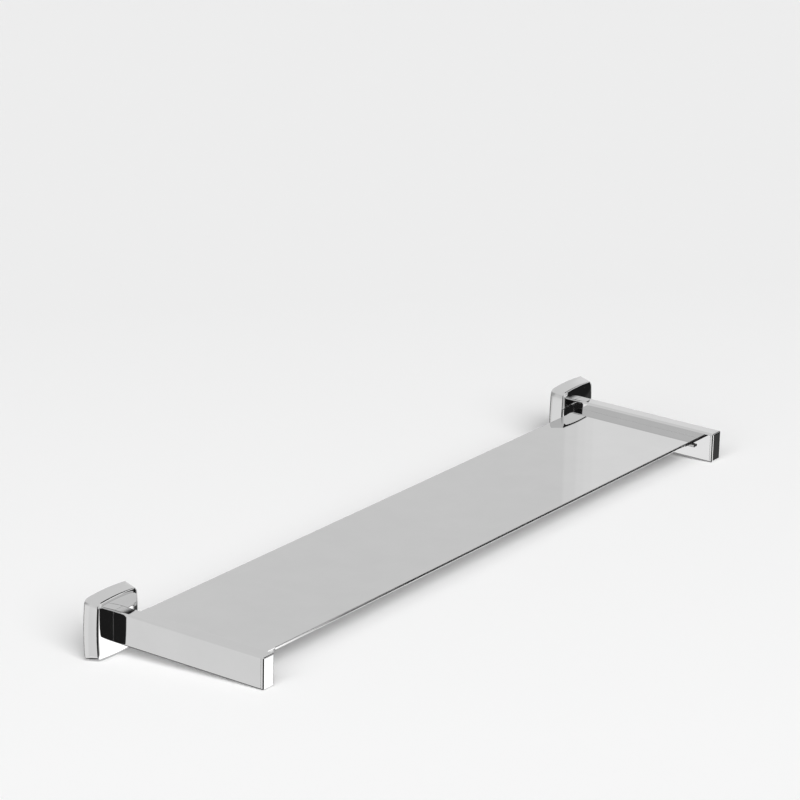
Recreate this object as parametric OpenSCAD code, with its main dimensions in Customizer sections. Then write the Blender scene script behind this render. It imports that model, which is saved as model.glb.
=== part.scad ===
// Wall shelf with brackets: a polished sheet shelf held between two bright arms,
// each arm standing on a square flange that hooks over a concealed wall plate.
// Millimetres. X runs along the shelf, the wall is the plane Y = 0 and the
// shelf stands out from it toward -Y, Z is up. The origin is on the wall,
// midway between the two flanges, at the height of their centres.

/* [Overall] */
// distance between the centres of the two flanges
span = 609.6; // [300:0.1:1200]
// how far the arm ends stand out from the wall
projection = 152.4; // [110:0.1:260]

/* [Arms] */
// arm thickness along X
arm_w = 12.7; // [10:0.1:20]
// arm height
arm_h = 25.4; // [20:0.1:40]
// wall of the arm tube
arm_wall = 1.2; // [0.8:0.1:2]
// rounding of the four long edges
arm_edge_r = 1.6; // [0.5:0.1:3]
// rounding of the two upright edges at the arm end
end_edge_r = 1.3; // [0.5:0.1:4]
// rounding of the upper and lower edge at the arm end
end_top_r = 1.4; // [0.5:0.1:4]
// thickness of the end cap
cap_t = 2.4; // [2.2:0.1:4]
// length of the plug that holds the cap in the tube
cap_plug = 6; // [3:0.5:12]
// length of the threaded block in the arm root
block_len = 14; // [10:0.5:20]

/* [Flanges] */
// flange size at the wall, along X and Z
flange_w = 50.8; // [42:0.1:80]
// depth of the flange rim from the wall
flange_depth = 11.5; // [9:0.1:16]
// how much each side leans in between wall and rim
flange_lean = 2; // [0.5:0.1:4]
// how far the face rises from the rim to the arm
face_rise = 1.5; // [0.2:0.1:3]
// outward bow of each side
side_bow = 1; // [0.2:0.1:2]
// rounding of the four flange corners
corner_r = 4.3; // [2:0.1:8]
// sheet thickness of the flange shell
flange_wall = 0.8; // [0.6:0.1:1.2]

/* [Shelf] */
// sheet thickness of the shelf
shelf_t = 0.8; // [0.6:0.1:1.5]
// height of the shelf top above the flange centre
shelf_top = 6.2; // [0:0.1:10]
// how far the shelf front edge lies behind the arm ends
shelf_setback = 15.1; // [8:0.1:60]
// thickness over the folded hems
hem_h = 2.4; // [2:0.1:4]
// outer rounding of the hem bends
hem_bend = 0.7; // [0.3:0.1:0.9]
// width of the folded hems
hem_w = 12; // [8:0.5:16]
// length at each end where the hems are cut away for the supports
hem_relief = 20; // [19:0.5:30]

/* [Shelf supports] */
// length of a lug from the arm
lug_len = 18.5; // [14:0.5:18.5]
// width of a lug along the arm
lug_w = 20; // [18:0.5:30]
// thickness of a lug
lug_t = 2; // [1:0.1:3]
// how far the front lugs lie behind the front edge of the shelf
lug_back = 0.3; // [0:0.1:8]
// distance of the shelf studs from the arm
stud_x = 11; // [8:0.1:12]
// diameter of the shelf studs
stud_d = 3; // [2.5:0.5:4]
// length of the shelf studs
stud_len = 5.5; // [5:0.5:8]
// diameter of the support rod along each arm
rod_d = 2.6; // [2:0.1:4]
// height of the rod centre below the underside of the shelf
rod_drop = 6.3; // [4.5:0.1:8]
// how far the rod ends behind the front edge of the shelf
rod_short = 1.5; // [0:0.1:4]

/* [Concealed mounting] */
// thickness of the wall plate and of the bracket in the flange
plate_t = 1.6; // [1.2:0.1:2.5]
// diameter of the wall screw holes
wall_hole_d = 4.8; // [4:0.1:6]
// height between the two wall screw holes of a plate
wall_hole_pitch = 15.2; // [12:0.1:20]
// depth of the hooks below the top of their slots
hook_hold = 3; // [2:0.1:4]
// diameter of the arm bolts
bolt_d = 4; // [3:0.5:5]
// length of the arm bolts under the head
bolt_len = 12; // [10:1:16]
// diameter of the set screw
set_d = 4; // [3:0.5:5]
// length of the set screw
set_len = 8; // [6:1:12]

/* [Fits] */
// clearance round threads, plugs and blocks
fit_gap = 0.1; // [0.05:0.05:0.3]
// clearance of bolts in plain holes
hole_gap = 0.2; // [0.1:0.05:0.4]
// gap between the shelf ends and the arms
end_gap = 0.1; // [0.05:0.05:0.5]
// gap between the shelf back edge and the flange faces
back_gap = 6.2; // [0.1:0.1:12]
// clearance of the bracket hooks in the wall plate
hook_gap = 0.15; // [0.1:0.05:0.4]

/* [Hidden] */
$fn = 48;
e = 0.01;

face_y = flange_depth + face_rise;
land = arm_h / 2 + 0.9;
lean = atan(flange_lean / flange_depth);
bore_r = 0.5;

// rounding of the flange rim, then of its face: [step out from the rim depth,
// step in from the rim], the first in millimetres and as a share of face_rise
rim_steps = [[-0.35, -0.06], [0, 0.02], [0.2, 0.16]];
face_steps = [[0.2, 0.32], [0.57, 1.24], [0.79, 2.2], [0.87, 3.1]];

shelf_len = span - arm_w - 2 * end_gap;
shelf_back = face_y + back_gap;
shelf_front = projection - shelf_setback;
shelf_under = shelf_top - shelf_t;

web_y = face_y - flange_wall;
web_h = arm_h - 2;
web_w = web_h - 2;
washer_t = 0.8;
washer_d = bolt_d + 3;
washer_clear = 0.9;
bolt_z = web_h / 2 - plate_t - washer_d / 2 - washer_clear;
head_h = 2.6;
head_d = bolt_d + 2.8;
seat_y = web_y - plate_t - washer_t;

hook_in = 5;
hook_out = web_w / 2;
slot_w = plate_t + 2 * hook_gap;
floor_z = web_h / 2 - 7.4;
lip_y = plate_t + slot_w + plate_t;

plate_half = flange_w / 2 - 8.4;
set_y = flange_depth / 2;
set_z = flange_w / 2 - flange_lean * set_y / flange_depth;
set_in = 0.4;
set_tip_r = set_d * 0.3;
tip_z = -set_z + (set_in + set_len) * cos(lean) + set_tip_r * sin(lean);
tongue_z = tip_z + fit_gap;
nut_s = 7;
nut_t = 3;

lug_top = shelf_under - fit_gap / 2;
lug_front = shelf_front - lug_back;
lug_rear = shelf_back + 30;
stud_back = 2;
stud_nut = 5.5;
stud_nut_t = 2.4;
rod_x = arm_w / 2 + rod_d / 2 + fit_gap / 2;
rod_z = shelf_under - rod_drop;
rod_back = shelf_back + 10;
foot_back = 4;

// ---- shared shapes ----

// the right-hand side is drawn as it stands, the left-hand side is its mirror
module at_right() {
  translate([span / 2, 0, 0])
    children();
}

module at_left() {
  mirror([1, 0, 0])
    at_right()
      children();
}

// turns a drawing in X and Z into a solid that starts y from the wall
module out_from(y, depth) {
  translate([0, -y, 0])
    rotate([90, 0, 0])
      linear_extrude(depth)
        children();
}

module box_y(w, h, y0, y1, x = 0, z = 0) {
  translate([x - w / 2, -y1, z - h / 2])
    cube([w, y1 - y0, h]);
}

module rod_y(d, y0, y1, x = 0, z = 0) {
  translate([x, -y0, z])
    rotate([90, 0, 0])
      cylinder(d = d, h = y1 - y0);
}

module rounded_box(w, h, r) {
  square([w - 2 * r, h], center = true);
  square([w, h - 2 * r], center = true);
  for (x = [-1, 1], z = [-1, 1])
    translate([x * (w / 2 - r), z * (h / 2 - r)])
      circle(r, $fn = 32);
}

// the part two large circles have in common, 2 * half wide along X
module bowed_strip(half, big) {
  intersection() {
    translate([big - half, 0])
      circle(big, $fn = 200);
    translate([half - big, 0])
      circle(big, $fn = 200);
  }
}

// square with bowed sides and rounded corners, half the size given
module pillow(half) {
  bow = side_bow * 2 * half / flange_w;
  side = half - corner_r - bow;
  big = (side * side + bow * bow) / (2 * bow) + corner_r;
  offset(r = corner_r, $fn = 32)
    offset(delta = -corner_r)
      intersection() {
        bowed_strip(half, big);
        rotate(90)
          bowed_strip(half, big);
      }
}

// ---- flange ----

module flange_layer(y, half) {
  translate([0, -y, 0])
    rotate([90, 0, 0])
      linear_extrude(e)
        pillow(half);
}

// outer form of the flange, or its inner form when drawn in by the wall
module flange_form(inset, start) {
  half = flange_w / 2 - inset;
  deep = flange_depth - inset;
  rim = half - flange_lean;
  hull() {
    flange_layer(start, half);
    for (s = rim_steps)
      flange_layer(deep + s[0], rim - s[1]);
    for (s = face_steps)
      flange_layer(deep + face_rise * s[0], rim - s[1]);
    flange_layer(deep + face_rise - e, land - inset / 2);
  }
}

// places things along the set screw, which stands square on the lower side
module along_set_screw() {
  translate([0, -set_y, -set_z])
    rotate([-lean, 0, 0])
      children();
}

module flange() {
  color([0.80, 0.81, 0.83])
    difference() {
      flange_form(0, 0);
      intersection() {
        flange_form(flange_wall, -e);
        box_y(flange_w, flange_w, -1, web_y);
      }
      for (z = [-bolt_z, bolt_z])
        rod_y(bolt_d + 2 * hole_gap, 5, face_y + 1, 0, z);
      along_set_screw()
        translate([0, 0, -2])
          cylinder(d = set_d + 2 * hole_gap, h = 5);
    }
}

// ---- arm and what holds it ----

module arm() {
  color([0.80, 0.81, 0.83])
    out_from(face_y, projection - cap_t - face_y)
      difference() {
        rounded_box(arm_w, arm_h, arm_edge_r);
        rounded_box(arm_w - 2 * arm_wall, arm_h - 2 * arm_wall, bore_r);
      }
}

module arm_cap() {
  plug_w = arm_w - 2 * arm_wall - 2 * fit_gap;
  plug_h = arm_h - 2 * arm_wall - 2 * fit_gap;
  color([0.80, 0.81, 0.83]) {
    intersection() {
      out_from(projection - cap_t, cap_t)
        rounded_box(arm_w, arm_h, arm_edge_r);
      translate([0, -projection + 10, -arm_h])
        linear_extrude(2 * arm_h)
          rounded_box(arm_w, 20, end_edge_r);
      translate([-arm_w, -projection + 10, 0])
        rotate([90, 0, 90])
          linear_extrude(2 * arm_w)
            rounded_box(20, arm_h, end_top_r);
    }
    out_from(projection - cap_t - cap_plug, cap_plug)
      rounded_box(plug_w, plug_h, bore_r);
  }
}

module arm_block() {
  block_w = arm_w - 2 * arm_wall - 2 * fit_gap;
  block_h = arm_h - 2 * arm_wall - 2 * fit_gap;
  color([0.55, 0.56, 0.58])
    difference() {
      out_from(face_y, block_len)
        rounded_box(block_w, block_h, bore_r);
      for (z = [-bolt_z, bolt_z])
        rod_y(bolt_d, face_y - 1, face_y + block_len - 2, 0, z);
    }
}

module arm_bolts() {
  color([0.66, 0.67, 0.70])
    for (z = [-bolt_z, bolt_z])
      difference() {
        union() {
          rod_y(head_d, seat_y - head_h, seat_y, 0, z);
          rod_y(bolt_d - 2 * fit_gap, seat_y - e, seat_y + bolt_len, 0, z);
        }
        translate([0, -seat_y + head_h + e, z])
          rotate([90, 0, 0])
            cylinder(d = 3.4, h = 1.6, $fn = 6);
      }
}

module arm_washers() {
  color([0.66, 0.67, 0.70])
    for (z = [-bolt_z, bolt_z])
      difference() {
        rod_y(washer_d, seat_y, seat_y + washer_t, 0, z);
        rod_y(bolt_d + 2 * fit_gap, seat_y - 1, seat_y + washer_t + 1, 0, z);
      }
}

// ---- concealed mounting ----

module bracket() {
  top = web_h / 2;
  hook_w = hook_out - hook_in;
  hook_x = (hook_out + hook_in) / 2;
  hook_y = plate_t + hook_gap;
  color([0.58, 0.59, 0.60])
    difference() {
      union() {
        box_y(web_w, web_h, web_y - plate_t, web_y);
        box_y(web_w, plate_t, 5.5, web_y, 0, top - plate_t / 2);
        for (x = [-hook_x, hook_x]) {
          box_y(hook_w, plate_t, hook_y, web_y, x, top - plate_t / 2);
          translate([x - hook_w / 2, -hook_y - plate_t, floor_z])
            cube([hook_w, plate_t, top - floor_z]);
        }
      }
      for (z = [-bolt_z, bolt_z])
        rod_y(bolt_d + 2 * hole_gap, 5, web_y + 1, 0, z);
    }
}

module wall_plate() {
  slot_wide = hook_out - hook_in + 1;
  slot_x = (hook_out + hook_in) / 2;
  color([0.58, 0.59, 0.60])
    difference() {
      union() {
        translate([-plate_half, -plate_t, tongue_z])
          cube([2 * plate_half, plate_t, plate_half - tongue_z]);
        translate([-7, -8, tongue_z])
          cube([14, 8, plate_t]);
        for (x = [-slot_x, slot_x]) {
          translate([x - slot_wide / 2, -lip_y, floor_z - plate_t])
            cube([slot_wide, lip_y, plate_t]);
          translate([x - slot_wide / 2, -lip_y, floor_z - plate_t])
            cube([slot_wide, plate_t, plate_t + hook_hold]);
        }
      }
      for (z = [-1, 1])
        rod_y(wall_hole_d, -1, plate_t + 1, 0, z * wall_hole_pitch / 2);
    }
}

module set_screw() {
  color([0.30, 0.30, 0.32])
    along_set_screw()
      difference() {
        union() {
          translate([0, 0, set_in])
            cylinder(d = set_d - 2 * fit_gap, h = set_len - 0.8);
          translate([0, 0, set_in + set_len - 0.8])
            cylinder(r1 = set_d / 2 - fit_gap, r2 = set_tip_r, h = 0.8);
        }
        translate([0, 0, set_in - e])
          cylinder(d = 2.3, h = 2, $fn = 6);
      }
}

module set_nut() {
  color([0.66, 0.67, 0.70])
    along_set_screw()
      difference() {
        translate([-nut_s / 2, -nut_s / 2, flange_wall + 2 * fit_gap])
          cube([nut_s, nut_s, nut_t]);
        cylinder(d = set_d, h = 10);
      }
}

// ---- shelf and its supports ----

// folded edge seen from the end, nose at 0 and the fold running to hem_w
module hem_profile() {
  translate([0, -hem_h])
    difference() {
      union() {
        translate([hem_bend, 0])
          square([hem_w - hem_bend, hem_h]);
        translate([0, hem_bend])
          square([hem_w, hem_h - 2 * hem_bend]);
        for (z = [hem_bend, hem_h - hem_bend])
          translate([hem_bend, z])
            circle(hem_bend, $fn = 32);
      }
      translate([shelf_t, shelf_t])
        square([hem_w, hem_h - 2 * shelf_t]);
    }
}

module hem(front) {
  length = shelf_len - 2 * (hem_relief - end_gap);
  turn = front ? 0 : 1;
  y = front ? -shelf_front : -shelf_back;
  translate([0, y, shelf_top])
    mirror([0, turn, 0])
      translate([-length / 2, 0, 0])
        rotate([90, 0, 90])
          linear_extrude(length)
            hem_profile();
}

module shelf_panel() {
  inner = shelf_len - 2 * (hem_relief - end_gap);
  color([0.74, 0.75, 0.76]) {
    translate([-shelf_len / 2, -shelf_front + hem_bend, shelf_under])
      cube([shelf_len, shelf_front - shelf_back - 2 * hem_bend, shelf_t]);
    for (x = [-1, 1])
      translate([x * (inner / 2 + shelf_len / 2) / 2, 0, 0])
        translate([-(shelf_len - inner) / 4, -shelf_front, shelf_under])
          cube([(shelf_len - inner) / 2, shelf_front - shelf_back, shelf_t]);
    hem(true);
    hem(false);
  }
}

// the two lug centres, as distances from the wall
function lug_at() = [lug_front - lug_w / 2, lug_rear + lug_w / 2];

module at_studs() {
  for (side = [0, 1])
    mirror([side, 0, 0])
      for (y = lug_at())
        translate([span / 2 - arm_w / 2 - stud_x, stud_back - y, 0])
          children();
}

module shelf_studs() {
  color([0.66, 0.67, 0.70])
    at_studs()
      translate([0, 0, shelf_under - stud_len])
        cylinder(d = stud_d, h = stud_len);
}

module shelf_nuts() {
  color([0.66, 0.67, 0.70])
    at_studs()
      translate([0, 0, lug_top - lug_t - stud_nut_t])
        difference() {
          cylinder(d = stud_nut / cos(30), h = stud_nut_t, $fn = 6);
          translate([0, 0, -1])
            cylinder(d = stud_d + 2 * fit_gap, h = stud_nut_t + 2);
        }
}

// each lug stands on the rod with a foot
module support_lugs() {
  foot_z = rod_z + rod_d / 2 + fit_gap / 2;
  color([0.70, 0.71, 0.72])
    for (y = lug_at())
      difference() {
        union() {
          translate([-arm_w / 2 - lug_len, -y - lug_w / 2, lug_top - lug_t])
            cube([lug_len, lug_w, lug_t]);
          translate([-arm_w / 2 - rod_d, -y - lug_w / 2 + foot_back, foot_z])
            cube([rod_d, lug_w - 2 * foot_back, lug_top - foot_z]);
        }
        translate([-arm_w / 2 - stud_x, stud_back - y, lug_top - lug_t - 1])
          cylinder(d = stud_d + 2 * hole_gap, h = lug_t + 2);
      }
}

module support_rod() {
  color([0.70, 0.71, 0.72])
    rod_y(rod_d, rod_back, shelf_front - rod_short, -rod_x, rod_z);
}

// ---- the assembly ----

shelf_panel();
shelf_studs();
shelf_nuts();
at_left() arm();  // arm_left
at_right() arm();  // arm_right
at_left() arm_cap();  // arm_cap_left
at_right() arm_cap();  // arm_cap_right
at_left() arm_block();  // arm_block_left
at_right() arm_block();  // arm_block_right
at_left() arm_bolts();  // arm_bolts_left
at_right() arm_bolts();  // arm_bolts_right
at_left() arm_washers();  // arm_washers_left
at_right() arm_washers();  // arm_washers_right
at_left() flange();  // flange_left
at_right() flange();  // flange_right
at_left() bracket();  // bracket_left
at_right() bracket();  // bracket_right
at_left() wall_plate();  // wall_plate_left
at_right() wall_plate();  // wall_plate_right
at_left() set_screw();  // set_screw_left
at_right() set_screw();  // set_screw_right
at_left() set_nut();  // set_nut_left
at_right() set_nut();  // set_nut_right
at_left() support_rod();  // support_rod_left
at_right() support_rod();  // support_rod_right
at_left() support_lugs();  // support_lugs_left
at_right() support_lugs();  // support_lugs_right
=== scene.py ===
"""A wall shelf with brackets, lying on a pale table as it is sold: shelf, arms and
flanges are bright polished stainless steel. Metres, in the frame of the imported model:
X along the shelf, the wall is Y = 0, the shelf stands out toward -Y, Z is up."""

from math import asin, atan2, cos, pi, radians, sin, tan

import bmesh
import bpy
from mathutils import Matrix, Vector


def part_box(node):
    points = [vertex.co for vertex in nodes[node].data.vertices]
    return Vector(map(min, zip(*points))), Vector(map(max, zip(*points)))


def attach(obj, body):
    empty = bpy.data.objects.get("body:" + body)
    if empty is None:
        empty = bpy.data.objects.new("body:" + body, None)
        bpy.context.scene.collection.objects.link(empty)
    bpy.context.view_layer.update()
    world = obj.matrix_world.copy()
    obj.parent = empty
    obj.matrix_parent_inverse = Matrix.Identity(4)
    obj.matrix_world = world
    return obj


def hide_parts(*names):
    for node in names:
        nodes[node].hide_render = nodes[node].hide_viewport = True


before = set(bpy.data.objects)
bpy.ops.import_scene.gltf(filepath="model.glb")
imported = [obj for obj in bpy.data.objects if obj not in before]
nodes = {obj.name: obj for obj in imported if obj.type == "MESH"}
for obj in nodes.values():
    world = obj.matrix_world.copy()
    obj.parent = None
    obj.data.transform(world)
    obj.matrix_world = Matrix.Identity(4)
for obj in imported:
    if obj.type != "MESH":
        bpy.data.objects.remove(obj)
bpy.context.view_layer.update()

# ---- camera ----

CAMERA_AIM = Vector((0.2319, 0.1236, 0.0))
CAMERA_DISTANCE = 3.114
CAMERA_AZIMUTH = radians(35.66)
CAMERA_ELEVATION = radians(19.09)
CAMERA_ROLL = radians(1.31)
CAMERA_LENS = 161.5


# ---- small helpers ----


def lowest(node):
    return Vector(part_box(node)[0])


def highest(node):
    return Vector(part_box(node)[1])


def link_new(name, data):
    ob = bpy.data.objects.new(name, data)
    bpy.context.scene.collection.objects.link(ob)
    return ob


class Tree:
    """A material's nodes, with short calls to add and join them."""

    def __init__(self, name):
        self.material = bpy.data.materials.new(name)
        self.material.use_nodes = True
        self.tree = self.material.node_tree
        self.tree.nodes.clear()
        self.output = self.add("ShaderNodeOutputMaterial")

    def add(self, kind, settings=None, **inputs):
        node = self.tree.nodes.new(kind)
        for key, value in (settings or {}).items():
            setattr(node, key, value)
        for key, value in inputs.items():
            name = key.replace("_", " ")
            if isinstance(value, bpy.types.NodeSocket):
                self.tree.links.new(value, node.inputs[name])
            else:
                node.inputs[name].default_value = value
        return node

    def surface(self, shader):
        self.tree.links.new(shader.outputs[0], self.output.inputs["Surface"])
        return self.material

    def noise(self, stretch, detail=3.0):
        """Noise whose grains measure 1 / stretch metres along each axis."""
        place = self.add("ShaderNodeTexCoord")
        scaled = self.add("ShaderNodeMapping", Scale=stretch)
        self.tree.links.new(place.outputs["Object"], scaled.inputs["Vector"])
        grain = self.add(
            "ShaderNodeTexNoise",
            Vector=scaled.outputs["Vector"],
            Scale=1.0,
            Detail=detail,
            Roughness=0.55,
        )
        return grain.outputs["Fac"]

    def spread(self, value, low, high):
        """A noise value, which keeps near a half, spread from low to high."""
        mapped = self.add("ShaderNodeMapRange", Value=value)
        mapped.inputs["From Min"].default_value = 0.3
        mapped.inputs["From Max"].default_value = 0.7
        mapped.inputs["To Min"].default_value = low
        mapped.inputs["To Max"].default_value = high
        return mapped.outputs["Result"]

    def shade(self, value, low, high):
        """A colour from low to high, for a noise value, which keeps near a half."""
        ramp = self.add("ShaderNodeValToRGB", Fac=value)
        ramp.color_ramp.elements[0].position = 0.3
        ramp.color_ramp.elements[0].color = (*low, 1.0)
        ramp.color_ramp.elements[1].position = 0.7
        ramp.color_ramp.elements[1].color = (*high, 1.0)
        return ramp.outputs["Color"]

    def bump(self, height, depth, normal):
        settings = {"Height": height, "Strength": 1.0, "Distance": depth, "Normal": normal}
        return self.add("ShaderNodeBump", **settings).outputs["Normal"]

    def soft_edges(self, radius):
        return self.add("ShaderNodeBevel", {"samples": 6}, Radius=radius).outputs["Normal"]


# ---- materials ----


def polished(name, stretch, rough=(0.018, 0.045), radius=0.0004, relief=0.0000005):
    """Bright polished stainless with faint buffing lines and hand marks."""
    t = Tree(name)
    lines = t.noise(stretch)
    marks = t.noise((38, 38, 38), detail=4.0)
    shader = t.add(
        "ShaderNodeBsdfPrincipled",
        Base_Color=t.shade(marks, (0.71, 0.71, 0.71), (0.73, 0.73, 0.73)),
        Metallic=1.0,
        Roughness=t.spread(marks, *rough),
        Normal=t.bump(lines, relief, t.soft_edges(radius)),
    )
    return t.surface(shader)


def plain_steel(name, dark, light, rough, stretch=(700, 700, 700), depth=0.000015):
    """Mill finish, drawn or plated steel."""
    t = Tree(name)
    grain = t.noise(stretch, detail=4.0)
    cloud = t.noise((90, 90, 90))
    shader = t.add(
        "ShaderNodeBsdfPrincipled",
        Base_Color=t.shade(cloud, dark, light),
        Metallic=1.0,
        Roughness=t.spread(cloud, *rough),
        Normal=t.bump(grain, depth, t.soft_edges(0.0002)),
    )
    return t.surface(shader)


def black_oxide():
    t = Tree("black_oxide")
    grain = t.noise((900, 900, 900))
    shader = t.add(
        "ShaderNodeBsdfPrincipled",
        Base_Color=t.shade(grain, (0.012, 0.012, 0.013), (0.03, 0.03, 0.032)),
        Roughness=t.spread(grain, 0.32, 0.5),
        Normal=t.bump(grain, 0.00001, t.soft_edges(0.0002)),
    )
    return t.surface(shader)


def dress(material, *names):
    for name in names:
        data = nodes[name].data
        data.materials.clear()
        data.materials.append(material)


def both(name):
    return (name + "_left", name + "_right")


def dress_nodes(polished_flange):
    sheet = polished("polished_sheet", (12, 1600, 1600), (0.006, 0.016), 0.0002, 0.0000001)
    dress(sheet, "shelf_panel")
    dress(polished("polished_arm", (2200, 30, 2200)), *both("arm"))
    dress(polished("polished_cap", (1800, 1800, 30)), *both("arm_cap"))
    dress(polished_flange, *both("flange"))
    drawn = (900, 40, 900)
    rod = plain_steel("rod_steel", (0.56, 0.56, 0.56), (0.66, 0.66, 0.66), (0.1, 0.18), drawn)
    dress(rod, *both("support_rod"))
    lug = plain_steel("lug_steel", (0.60, 0.60, 0.60), (0.70, 0.70, 0.70), (0.12, 0.2))
    dress(lug, *both("support_lugs"))
    sawn = (60, 900, 900)
    block = plain_steel("block_steel", (0.36, 0.36, 0.365), (0.46, 0.46, 0.465), (0.3, 0.42), sawn)
    dress(block, *both("arm_block"))
    bracket = plain_steel("bracket_steel", (0.42, 0.425, 0.43), (0.54, 0.545, 0.55), (0.34, 0.5))
    dress(bracket, *both("bracket"))
    plate = plain_steel("plate_steel", (0.46, 0.47, 0.48), (0.56, 0.575, 0.58), (0.3, 0.46))
    dress(plate, *both("wall_plate"))
    zinc = plain_steel("zinc_steel", (0.52, 0.53, 0.55), (0.64, 0.65, 0.67), (0.22, 0.36))
    dress(zinc, "shelf_studs", "shelf_nuts", *both("arm_bolts"), *both("set_nut"))
    fine = (900, 900, 900)
    washer = plain_steel("washer_steel", (0.54, 0.55, 0.56), (0.66, 0.67, 0.68), (0.24, 0.38), fine)
    dress(washer, *both("arm_washers"))
    dress(black_oxide(), *both("set_screw"))


# ---- flanges ----
# The pressed shells are built again with smooth rings, outside and inside, over the
# packed ones, whose rims and bowed sides are flat facets. Sizes in metres.

FLANGE_HALF = (highest("flange_left").x - lowest("flange_left").x) / 2
FACE_DEPTH = -lowest("flange_left").y
FLANGE_DEPTH = 0.0115
FLANGE_LEAN = 0.002
LEAN_ANGLE = atan2(FLANGE_LEAN, FLANGE_DEPTH)
FLANGE_BOW = 0.001
FLANGE_CORNER = 0.0043
CORNER_SHARE = 0.45
FLANGE_SHEET = 0.0008

# The face is flat round the arm, falls away and turns over the rim.
LAND = (highest("arm_left").z - lowest("arm_left").z) / 2 + 0.0009
LAND_RISE = 0.0002
LAND_MIDDLE = 0.6
FACE_RADIUS = 0.0048
FACE_STEPS = 14
RIM_RADIUS = 0.001
RIM_RADIUS_INSIDE = 0.0003
RIM_STEPS = 8
RIM_TURN = radians(52)
FACE_TURN = radians(88)

# The edge at the wall is rounded on the outside.
BACK_RADIUS = 0.0013
BACK_TURNS = (60, 45, 30, 15)

SET_HOLE_RADIUS = 0.0022
SET_HOLE_LENGTH = 0.006


def outline(half, steps=20, turns=10):
    """A square with bowed sides and rounded corners, as (x, z) round the middle."""
    bow = FLANGE_BOW * half / FLANGE_HALF
    corner = min(FLANGE_CORNER, CORNER_SHARE * half)
    reach = half - corner - bow
    big = (reach * reach + bow * bow) / (2 * bow)
    swing = asin(reach / big)
    side = []
    for i in range(steps + 1):
        a = swing * (2 * i / steps - 1)
        side.append((half - corner - big + (big + corner) * cos(a), (big + corner) * sin(a)))
    for i in range(1, turns):
        a = swing + (pi / 2 - 2 * swing) * i / turns
        side.append((reach + corner * cos(a), reach + corner * sin(a)))
    points = []
    for quarter in range(4):
        c, w = cos(quarter * pi / 2), sin(quarter * pi / 2)
        points += [(x * c - z * w, x * w + z * c) for x, z in side]
    return points


def shell_profile(inset):
    """(depth from the wall, half width) from the wall to the middle of the face."""
    rim = max(RIM_RADIUS - inset, RIM_RADIUS_INSIDE)
    face = FACE_RADIUS - inset
    top = FACE_DEPTH - inset
    land = LAND - inset * 0.5
    face_start = top - LAND_RISE - face * (sin(FACE_TURN) - sin(RIM_TURN))
    rim_start = face_start - rim * (sin(RIM_TURN) - sin(LEAN_ANGLE))
    base = FLANGE_HALF - inset / cos(LEAN_ANGLE)
    half = base - rim_start * tan(LEAN_ANGLE)
    back = BACK_RADIUS if inset == 0.0 else 0.0
    points = []
    for degrees in BACK_TURNS:
        a = radians(degrees)
        points.append((back * (1 - sin(a)), base - back * (1 - cos(a))))
    points.append((back, base - back * tan(LEAN_ANGLE)))
    points.append((rim_start * 0.5, (base + half) / 2))
    for i in range(RIM_STEPS + 1):
        a = LEAN_ANGLE + (RIM_TURN - LEAN_ANGLE) * i / RIM_STEPS
        depth = rim_start + rim * (sin(a) - sin(LEAN_ANGLE))
        points.append((depth, half + rim * (cos(a) - cos(LEAN_ANGLE))))
    depth, width = points[-1]
    for i in range(1, FACE_STEPS + 1):
        a = RIM_TURN + (FACE_TURN - RIM_TURN) * i / FACE_STEPS
        rise = face * (sin(a) - sin(RIM_TURN))
        points.append((depth + rise, width + face * (cos(a) - cos(RIM_TURN))))
    points.append((top, land))
    points.append((top, land * LAND_MIDDLE))
    return points


def add_rings(b, profile, x):
    """Skins one surface from ring to ring and closes it in the middle."""
    rings = []
    for depth, half in profile:
        rings.append([b.verts.new((x + px, -depth, pz)) for px, pz in outline(half)])
    count = len(rings[0])
    for low, high in zip(rings, rings[1:]):
        for i in range(count):
            j = (i + 1) % count
            b.faces.new((low[i], low[j], high[j], high[i]))
    b.faces.new(rings[-1])
    return rings[0]


def set_screw_hole(x):
    """A cylinder along the set screw, to cut its hole."""
    mesh = bpy.data.meshes.new("hole")
    b = bmesh.new()
    bmesh.ops.create_cone(
        b,
        segments=48,
        radius1=SET_HOLE_RADIUS,
        radius2=SET_HOLE_RADIUS,
        depth=SET_HOLE_LENGTH,
        cap_ends=True,
    )
    b.to_mesh(mesh)
    b.free()
    cutter = link_new("hole", mesh)
    depth = FLANGE_DEPTH / 2
    cutter.location = (x, -depth, -(FLANGE_HALF - depth * tan(LEAN_ANGLE)))
    cutter.rotation_euler = (-LEAN_ANGLE, 0.0, 0.0)
    return cutter


def make_flange(side, material):
    node = "flange_" + side
    x = (lowest(node).x + highest(node).x) / 2
    b = bmesh.new()
    outer = add_rings(b, shell_profile(0.0), x)
    inner = add_rings(b, shell_profile(FLANGE_SHEET), x)
    for i in range(len(outer)):
        j = (i + 1) % len(outer)
        b.faces.new((outer[j], outer[i], inner[i], inner[j]))
    bmesh.ops.recalc_face_normals(b, faces=b.faces[:])
    mesh = bpy.data.meshes.new("pressed_" + node)
    b.to_mesh(mesh)
    b.free()
    shell = link_new("pressed_" + node, mesh)
    cutter = set_screw_hole(x)
    cut = shell.modifiers.new("cut", "BOOLEAN")
    cut.object = cutter
    cut.operation = "DIFFERENCE"
    cut.solver = "EXACT"
    bpy.context.view_layer.update()
    evaluated = shell.evaluated_get(bpy.context.evaluated_depsgraph_get())
    done = bpy.data.meshes.new_from_object(evaluated)
    shell.modifiers.clear()
    shell.data = done
    bpy.data.objects.remove(cutter)
    done.polygons.foreach_set("use_smooth", [True] * len(done.polygons))
    done.set_sharp_from_angle(angle=radians(40))
    done.materials.clear()
    done.materials.append(material)
    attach(shell, "root")
    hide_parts(node)


# ---- table ----

TABLE_HALF_WIDTH = 9.0
TABLE_GAP = 0.0002

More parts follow.
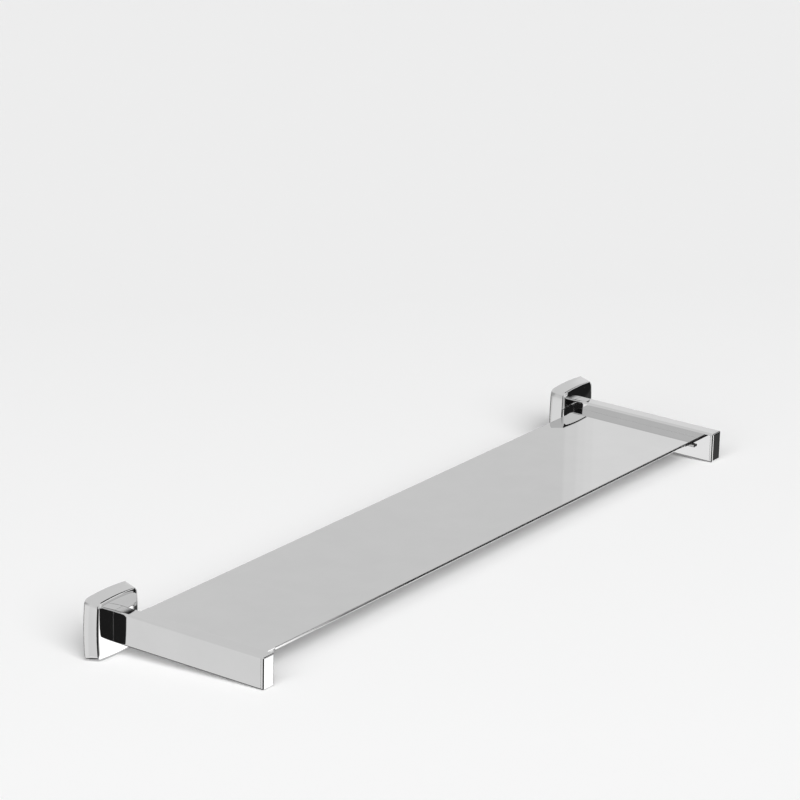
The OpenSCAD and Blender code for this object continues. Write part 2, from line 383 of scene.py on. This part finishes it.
# Painted shade: the card's colour fades along the camera's view, between these distances, darker
# toward the far side.
TABLE_NEAR = -0.45
TABLE_FAR = 0.75
TABLE_NEAR_COLOUR = (0.93, 0.93, 0.93)
TABLE_FAR_PAINTED_SHADE = (0.85, 0.85, 0.85)


def table_tilt():
    """The loose shelf rests on the flange bottoms and on the tips of the arms."""
    drop = lowest("arm_left").z - lowest("flange_left").z
    reach = -lowest("arm_cap_left").y
    return atan2(drop, reach)


def table_material():
    """Matt pale card, with painted shade that makes it a little darker toward the far side."""
    t = Tree("table")
    speck = t.noise((30, 30, 30))
    place = t.add("ShaderNodeTexCoord")
    turned = t.add("ShaderNodeMapping", Rotation=(0.0, 0.0, -CAMERA_AZIMUTH))
    t.tree.links.new(place.outputs["Object"], turned.inputs["Vector"])
    split = t.add("ShaderNodeSeparateXYZ", Vector=turned.outputs["Vector"])
    # painted shade: the card's colour darkens toward the far side, as light falling off would
    painted_falloff = t.add("ShaderNodeMapRange", Value=split.outputs["X"])
    painted_falloff.inputs["From Min"].default_value = TABLE_NEAR
    painted_falloff.inputs["From Max"].default_value = TABLE_FAR
    ramp = t.add("ShaderNodeValToRGB", Fac=painted_falloff.outputs["Result"])
    ramp.color_ramp.elements[0].color = (*TABLE_NEAR_COLOUR, 1.0)
    ramp.color_ramp.elements[1].color = (*TABLE_FAR_PAINTED_SHADE, 1.0)
    shader = t.add(
        "ShaderNodeBsdfPrincipled",
        Base_Color=ramp.outputs["Color"],
        Roughness=t.spread(speck, 0.75, 0.85),
        Specular_IOR_Level=0.0,
    )
    return t.surface(shader)


def make_table():
    mesh = bpy.data.meshes.new("table")
    b = bmesh.new()
    bmesh.ops.create_grid(b, x_segments=1, y_segments=1, size=TABLE_HALF_WIDTH)
    b.to_mesh(mesh)
    b.free()
    mesh.materials.append(table_material())
    table = link_new("table", mesh)
    table.location = (0.0, 0.0, lowest("flange_left").z - TABLE_GAP)
    table.rotation_euler = (-table_tilt(), 0.0, 0.0)
    table.visible_glossy = False


# ---- light and camera ----


def soft_sun(name, azimuth, elevation, strength, spread):
    """A large soft lamp far away; azimuth and elevation say where it stands."""
    data = bpy.data.lights.new(name, "SUN")
    data.energy = strength
    data.angle = spread
    lamp = link_new(name, data)
    toward = Vector((cos(elevation) * cos(azimuth), cos(elevation) * sin(azimuth), sin(elevation)))
    lamp.rotation_euler = toward.to_track_quat("Z", "Y").to_euler()
    lamp.visible_glossy = False


# What stands round the table, by direction: degrees from +X toward +Y, and the
# brightness of the card, wall or lamp there. LOW is under the horizon, HIGH above.
ROUND_LOW = (
    (-180, 0.85), (-174, 0.7), (-170, 0.02), (-98, 0.02), (-92, 0.5), (-80, 0.68), (-75, 1.7),
    (-37.6, 1.7), (-37.0, 0.06), (-20, 0.06), (-14, 0.4), (0, 0.62), (30, 0.82), (48, 0.6),
    (52, 0.04), (122, 0.04), (128, 0.7), (135, 0.85), (143, 0.85), (147, 1.04), (152, 1.04),
    (156, 0.82), (160, 0.84), (166, 0.92), (180, 0.92),
)
ROUND_HIGH = (
    (-180, 0.5), (-164, 0.4), (-158, 0.08), (-154, 0.012), (-126, 0.012), (-119, 0.3),
    (-95, 0.7), (-60, 0.92), (-20, 0.96), (0, 0.92), (20, 0.88), (28, 0.86), (31, 0.735),
    (38.5, 0.735), (41, 0.77), (60, 0.75), (120, 0.76), (149, 0.8), (160, 0.72), (165, 0.82),
    (180, 0.6),
)
CEILING = 0.77

# Where LOW goes over to HIGH and HIGH to the ceiling, by the height of the direction.
HORIZON = (-0.2, -0.12)
CEILING_EDGE = (0.36, 0.52)

# Cards that stand before it: degrees, height of the direction, brightness. The three
# narrow ones soften the edge of the first, which shows as a step of tone on the shelf.
CARDS = (
    ((18.0, 32.42), (-0.1, 0.38), 0.86),
    ((32.42, 32.55), (-0.1, 0.38), 0.84),
    ((32.55, 32.68), (-0.1, 0.38), 0.82),
    ((32.68, 32.82), (-0.1, 0.38), 0.785),
    ((-41.0, -18.0), (-0.31, 0.29), 0.015),
    ((-60.0, -41.0), (-0.1, 0.23), 0.6),
    ((-58.0, -8.0), (0.43, 0.8), 0.015),
    ((-60.0, -5.0), (-1.1, -0.44), 1.7),
)
CARD_EDGE_TURN = 0.0002
CARD_EDGE_HEIGHT = 0.02

# What matt surfaces get from all round, and the pale wall that the camera sees.
FILL = 0.21
PALE_WALL = 0.93


def make_world():
    """A studio that the polished metal mirrors. Matt surfaces get an even fill instead,
    and the camera sees a pale wall."""
    world = bpy.data.worlds.new("studio")
    bpy.context.scene.world = world
    world.use_nodes = True
    tree = world.node_tree
    tree.nodes.clear()

    def add(kind, settings=None):
        node = tree.nodes.new(kind)
        for key, value in (settings or {}).items():
            setattr(node, key, value)
        return node

    def math(operation, *values):
        node = add("ShaderNodeMath", {"operation": operation})
        for socket, value in zip(node.inputs, values):
            if isinstance(value, bpy.types.NodeSocket):
                tree.links.new(value, socket)
            else:
                socket.default_value = value
        return node.outputs[0]

    def spread(value, start, end):
        node = add("ShaderNodeMapRange", {"interpolation_type": "SMOOTHSTEP"})
        tree.links.new(value, node.inputs["Value"])
        node.inputs["From Min"].default_value = start
        node.inputs["From Max"].default_value = end
        return node.outputs["Result"]

    def ring(turn, table):
        node = add("ShaderNodeValToRGB")
        tree.links.new(turn, node.inputs["Fac"])
        stops = node.color_ramp.elements
        for stop, (angle, value) in enumerate(table):
            place = (angle + 180) / 360
            made = stops[stop] if stop < 2 else stops.new(place)
            made.position = place
            made.color = (value, value, value, 1.0)
        return node.outputs["Color"]

    def mix(share, low, high):
        keep = math("SUBTRACT", 1.0, share)
        return math("ADD", math("MULTIPLY", low, keep), math("MULTIPLY", high, share))

    def between(value, low, high, edge):
        return math("MULTIPLY", spread(value, low - edge, low), spread(value, high + edge, high))

    place = add("ShaderNodeTexCoord")
    split = add("ShaderNodeSeparateXYZ")
    tree.links.new(place.outputs["Generated"], split.inputs[0])
    x, y, z = split.outputs
    turn = math("ADD", math("DIVIDE", math("ARCTAN2", y, x), 2 * pi), 0.5)
    light = mix(spread(z, *HORIZON), ring(turn, ROUND_LOW), ring(turn, ROUND_HIGH))
    light = mix(spread(z, *CEILING_EDGE), light, CEILING)
    for (first, last), (low, high), value in CARDS:
        sides = between(turn, (first + 180) / 360, (last + 180) / 360, CARD_EDGE_TURN)
        card = math("MULTIPLY", sides, between(z, low, high, CARD_EDGE_HEIGHT))
        light = mix(card, light, value)
    path = add("ShaderNodeLightPath")
    light = mix(path.outputs["Is Glossy Ray"], FILL, light)
    light = mix(path.outputs["Is Camera Ray"], light, PALE_WALL)
    background = add("ShaderNodeBackground")
    background.inputs["Color"].default_value = (1.0, 1.0, 1.0, 1.0)
    tree.links.new(light, background.inputs["Strength"])
    output = add("ShaderNodeOutputWorld")
    tree.links.new(background.outputs[0], output.inputs["Surface"])


def make_lights():
    make_world()
    soft_sun("front_softbox", radians(-125), radians(36), 2.76, radians(36))
    soft_sun("left_softbox", radians(-163), radians(30), 2.12, radians(58))


def make_camera():
    ahead = Vector(
        (
            cos(CAMERA_ELEVATION) * cos(CAMERA_AZIMUTH),
            cos(CAMERA_ELEVATION) * sin(CAMERA_AZIMUTH),
            -sin(CAMERA_ELEVATION),
        )
    )
    level = ahead.cross(Vector((0, 0, 1))).normalized()
    upright = level.cross(ahead)
    right = level * cos(CAMERA_ROLL) + upright * sin(CAMERA_ROLL)
    up = upright * cos(CAMERA_ROLL) - level * sin(CAMERA_ROLL)
    turned = Matrix((right, up, -ahead)).transposed().to_4x4()
    data = bpy.data.cameras.new("camera")
    data.lens = CAMERA_LENS
    data.sensor_width = 36.0
    data.clip_end = 100.0
    camera = link_new("camera", data)
    camera.matrix_world = Matrix.Translation(CAMERA_AIM - ahead * CAMERA_DISTANCE) @ turned
    bpy.context.scene.camera = camera


polished_flange = polished("polished_flange", (60, 1500, 1500))
dress_nodes(polished_flange)
for side in ("left", "right"):
    make_flange(side, polished_flange)
make_table()
make_lights()
make_camera()
bpy.context.scene.view_settings.view_transform = "Standard"
